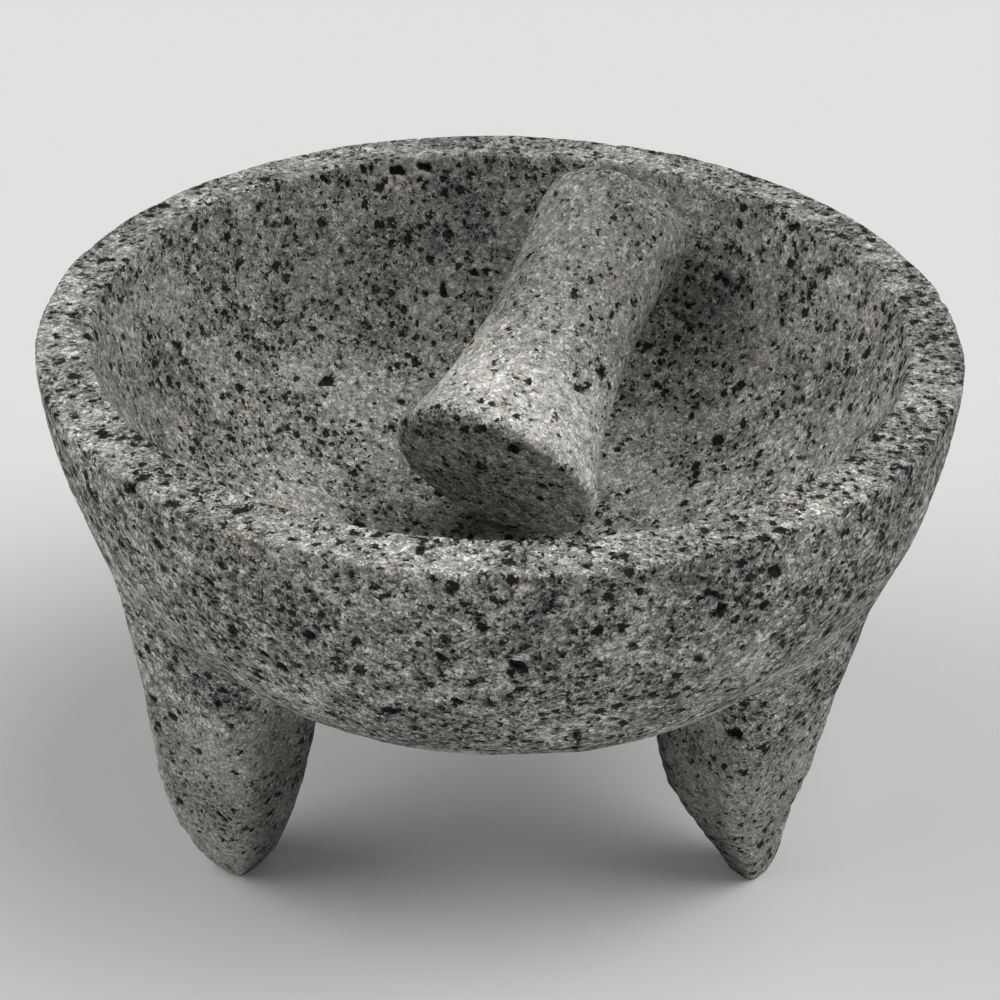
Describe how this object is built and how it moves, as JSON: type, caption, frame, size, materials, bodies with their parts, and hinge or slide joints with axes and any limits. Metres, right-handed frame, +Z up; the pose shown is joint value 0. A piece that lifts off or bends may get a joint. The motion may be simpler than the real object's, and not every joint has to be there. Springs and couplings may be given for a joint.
{
  "type": "molcajete",
  "caption": "Round stone mortar on carved legs, with a flared hand stone leaning in its bowl and free to lift out.",
  "frame": {"origin": "on the bowl's axis at floor level, midway under the part's box", "axes": "+Z up along the bowl's axis, -Y to the front between the two front legs, +X to the right seen from the front"},
  "size_m": [0.252, 0.252, 0.1719],
  "materials": {
    "mortar_stone": "rough-cut vesicular basalt, open dark pores, worn paler at the rim",
    "pestle_stone": "vesicular basalt rubbed paler by the hand, open dark pores"
  },
  "bodies": {
    "mortar": {"mortar": "mortar_stone"},
    "pestle": {"pestle": "pestle_stone"}
  },
  "joints": [
    {"name": "pestle_lift", "type": "slide", "parent": "mortar", "child": "pestle", "axis": [0, 0, 1], "range_m": [0, 0.2]}
  ]
}
